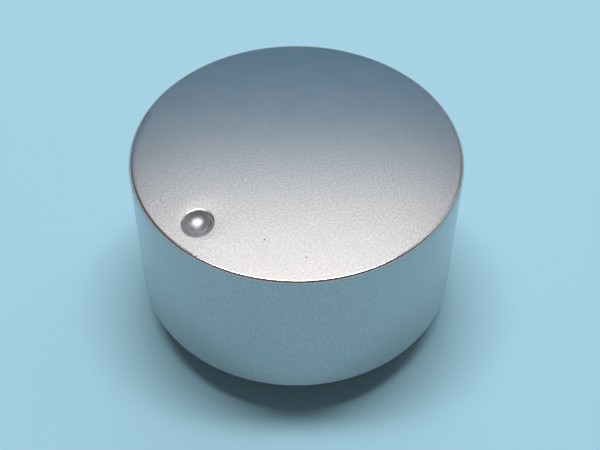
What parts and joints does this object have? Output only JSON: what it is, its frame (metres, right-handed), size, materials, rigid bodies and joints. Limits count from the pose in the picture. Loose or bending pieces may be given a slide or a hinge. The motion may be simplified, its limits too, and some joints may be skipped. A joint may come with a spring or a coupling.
{
  "type": "control knob",
  "caption": "Round push-on control knob: blasted aluminium cap with a finger dimple, moulded ribbed hub with a splined split boss, and a steel spring ring.",
  "frame": {"origin": "centre of the boss's end face, which the knob stands on when it is off its shaft", "axes": "+Z along the shaft axis towards the flat top; the finger dimple points to -Y; +X completes the right-handed frame"},
  "size_m": [0.04, 0.04, 0.025],
  "materials": {
    "cap_aluminium": "bead-blasted, clear anodised satin silver",
    "hub_abs": "black moulded ABS, fine spark-eroded texture",
    "ring_steel": "bright rolled spring steel strip"
  },
  "bodies": {
    "root": {"cap": "cap_aluminium", "hub": "hub_abs", "spring_ring": "ring_steel"}
  },
  "joints": []
}
